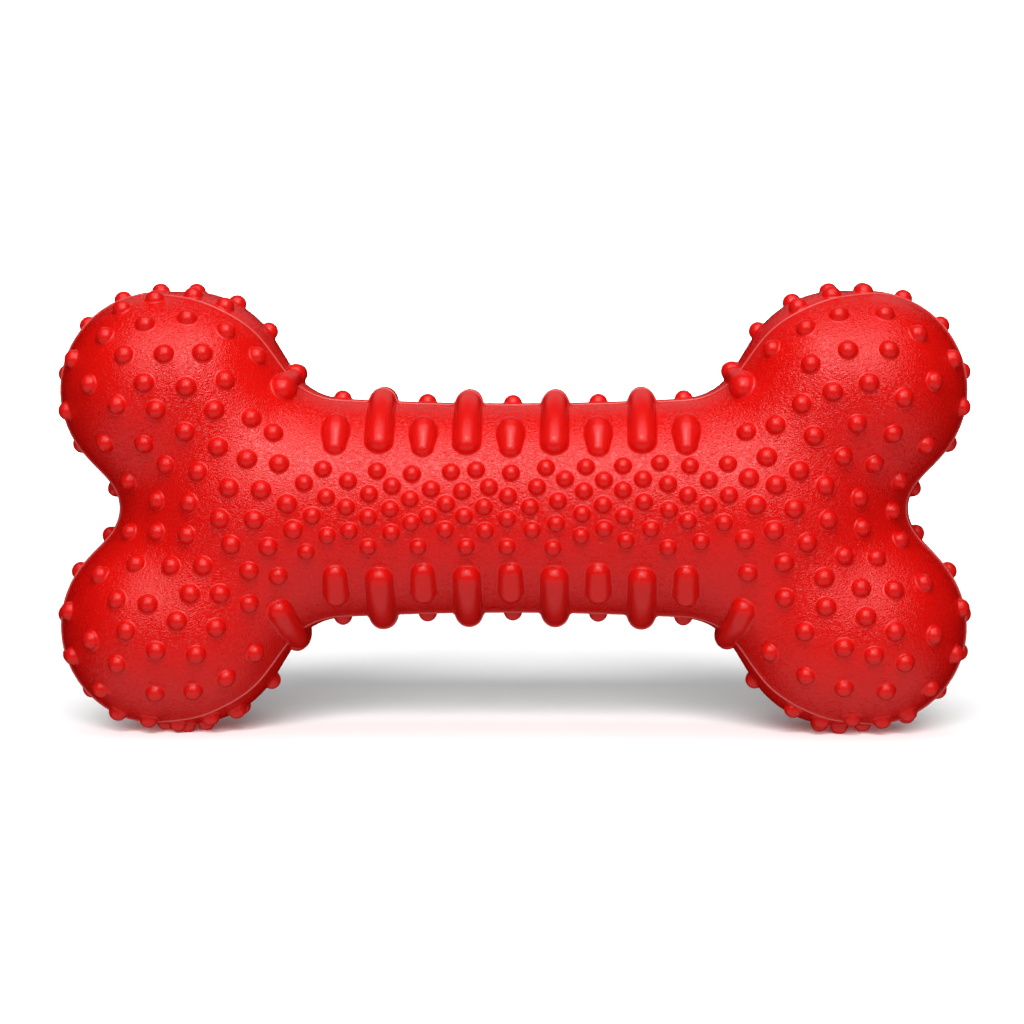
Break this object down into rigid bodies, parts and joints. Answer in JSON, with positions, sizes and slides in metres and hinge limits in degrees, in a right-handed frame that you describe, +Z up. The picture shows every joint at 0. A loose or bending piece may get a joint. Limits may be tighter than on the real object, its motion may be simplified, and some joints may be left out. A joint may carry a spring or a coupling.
{
  "type": "rubber chew toy",
  "caption": "Hollow rubber dog bone with nubs over its knuckles, ribs across its shaft and a squeaker in its back.",
  "frame": {"origin": "on the floor under the middle of the bone's box, which is where its lowest nubs stand", "axes": "+X along the bone towards its right end as pictured, +Z up from the lower knuckles to the upper ones, -Y out of the front half that the picture shows"},
  "size_m": [0.161, 0.043, 0.0788],
  "materials": {
    "rubber": "semi-gloss moulded rubber with a fine leathery grain",
    "bond": "smooth squeezed-out rubber",
    "squeaker_plastic": "plain moulded polyethylene",
    "reed_metal": "thin rolled strip"
  },
  "bodies": {
    "toy": {"front_shell": "rubber", "back_shell": "rubber", "seam_bond": "bond", "squeaker_housing": "squeaker_plastic", "squeaker_cap": "squeaker_plastic", "reed_seat": "squeaker_plastic"},
    "reed": {"reed": "reed_metal"}
  },
  "joints": [
    {"name": "reed_lift", "type": "hinge", "parent": "toy", "child": "reed", "pos_m": [0, 0.0158, 0.03965], "axis": [-1, 0, 0], "range_deg": [0, 4], "stiffness_Nm_per_rad": 0.002}
  ]
}
